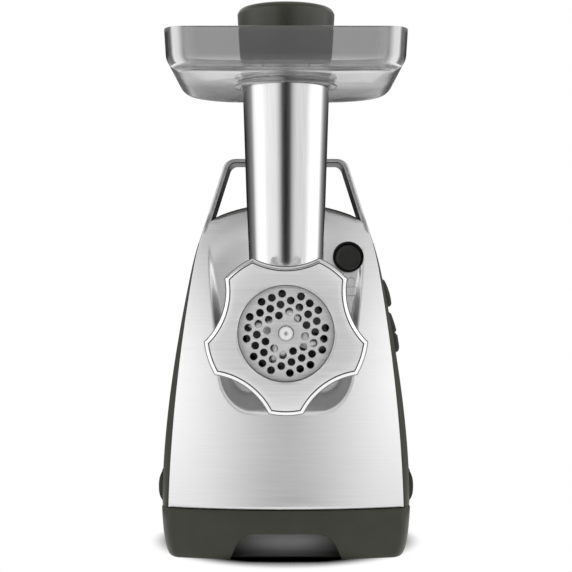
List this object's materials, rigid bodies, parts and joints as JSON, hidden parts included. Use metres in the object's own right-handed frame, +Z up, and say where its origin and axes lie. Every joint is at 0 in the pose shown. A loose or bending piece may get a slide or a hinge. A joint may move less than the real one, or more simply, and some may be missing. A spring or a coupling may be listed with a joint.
{
  "type": "electric meat grinder",
  "caption": "Electric meat grinder with steel front, strap handle, feed tray and pusher, grinding head with screw ring and plate, gear train and motor.",
  "frame": {"origin": "on the floor, under the middle of the whole machine's box", "axes": "+Z up, +Y towards the back of the machine, -Y towards the grinding head's mouth, +X to the right seen from the front"},
  "size_m": [0.176, 0.31, 0.3624],
  "materials": {
    "brushed_panel": "satin, brushed crosswise",
    "handle_steel": "satin",
    "housing_plastic": "fine texture, dark olive grey",
    "black_plastic": "fine texture",
    "foot_rubber": "matt",
    "polished_steel": "polished",
    "plate_steel": "ground",
    "ring_aluminium": "satin, blasted",
    "cast_metal": "as cast",
    "tray_clear": "clear, faintly smoky",
    "pusher_plastic": "satin, dark olive grey",
    "gear_nylon": "natural nylon",
    "copper": "wound copper",
    "lamination_steel": "stacked sheets",
    "board": "circuit board",
    "carbon": "carbon"
  },
  "bodies": {
    "root": {"front_panel": "brushed_panel", "carry_handle": "handle_steel", "rear_shell": "housing_plastic", "base_skirt": "housing_plastic", "bottom_plate": "black_plastic", "foot_front_left": "foot_rubber", "foot_front_right": "foot_rubber", "foot_rear_left": "foot_rubber", "foot_rear_right": "foot_rubber", "side_grip_left": "foot_rubber", "side_grip_right": "foot_rubber", "shell_screw_1": "cast_metal", "shell_screw_2": "cast_metal", "shell_screw_3": "cast_metal", "shell_screw_4": "cast_metal", "cable_gland": "black_plastic", "head_socket": "cast_metal", "output_bushing": "cast_metal", "lock_bezel": "black_plastic", "reverse_switch": "black_plastic", "power_switch": "black_plastic", "control_board": "board", "gearbox_front_plate": "cast_metal", "gearbox_case": "cast_metal", "gearbox_rear_plate": "cast_metal", "motor_stator": "lamination_steel", "motor_bracket": "cast_metal", "front_bearing": "polished_steel", "rear_bearing": "polished_steel", "brush_left": "carbon", "brush_right": "carbon", "motor_cradle": "foot_rubber"},
    "head": {"head_body": "polished_steel", "plate_key": "cast_metal", "cutting_plate": "plate_steel"},
    "ring": {"screw_ring": "ring_aluminium"},
    "screw": {"auger": "cast_metal", "cutting_knife": "plate_steel"},
    "tray": {"hopper_tray": "tray_clear"},
    "pusher": {"food_pusher": "pusher_plastic"},
    "lock": {"lock_button": "black_plastic", "lock_bolt": "cast_metal"},
    "reverse": {"reverse_button": "black_plastic"},
    "rocker": {"power_rocker": "black_plastic"},
    "output": {"drive_shaft": "cast_metal", "output_gear": "cast_metal"},
    "second": {"second_gear": "gear_nylon"},
    "first": {"first_gear": "gear_nylon"},
    "rotor": {"motor_shaft": "cast_metal", "motor_pinion": "cast_metal", "armature_core": "copper", "commutator": "copper", "cooling_fan": "gear_nylon"}
  },
  "joints": [
    {"name": "head_twist", "type": "hinge", "parent": "root", "child": "head", "pos_m": [0, 0, 0.156], "axis": [0, 1, 0], "range_deg": [0, 30]},
    {"name": "ring_turn", "type": "hinge", "parent": "head", "child": "ring", "pos_m": [0, 0, 0.156], "axis": [0, -1, 0], "range_deg": [0, 630]},
    {"name": "output_spin", "type": "hinge", "parent": "root", "child": "output", "pos_m": [0, 0, 0.156], "axis": [0, 1, 0], "continuous": true},
    {"name": "screw_spin", "type": "hinge", "parent": "root", "child": "screw", "pos_m": [0, 0, 0.156], "axis": [0, 1, 0], "continuous": true},
    {"name": "second_spin", "type": "hinge", "parent": "root", "child": "second", "pos_m": [0.01136, 0, 0.11349], "axis": [0, 1, 0], "continuous": true},
    {"name": "first_spin", "type": "hinge", "parent": "root", "child": "first", "pos_m": [-0.02497, 0, 0.1042], "axis": [0, 1, 0], "continuous": true},
    {"name": "rotor_spin", "type": "hinge", "parent": "root", "child": "rotor", "pos_m": [0, 0, 0.085], "axis": [0, 1, 0], "continuous": true},
    {"name": "tray_lift", "type": "slide", "parent": "head", "child": "tray", "axis": [0, 0, 1], "range_m": [0, 0.03]},
    {"name": "pusher_lift", "type": "slide", "parent": "tray", "child": "pusher", "axis": [0, 0, 1], "range_m": [0, 0.125]},
    {"name": "lock_press", "type": "slide", "parent": "root", "child": "lock", "axis": [0, 1, 0], "range_m": [0, 0.004], "stiffness_N_per_m": 900, "springref_m": -0.002},
    {"name": "reverse_press", "type": "slide", "parent": "root", "child": "reverse", "axis": [-1, 0, 0], "range_m": [0, 0.0025], "stiffness_N_per_m": 900, "springref_m": -0.002},
    {"name": "rocker_tilt", "type": "hinge", "parent": "root", "child": "rocker", "pos_m": [0.0705, 0, 0.1518], "axis": [0, 1, 0], "range_deg": [0, 6]}
  ],
  "couplings": [
    {"joint": "screw_spin", "follows": "output_spin", "ratio": 1},
    {"joint": "second_spin", "follows": "output_spin", "ratio": -3.4},
    {"joint": "first_spin", "follows": "output_spin", "ratio": 13.6},
    {"joint": "rotor_spin", "follows": "output_spin", "ratio": -81.6}
  ]
}
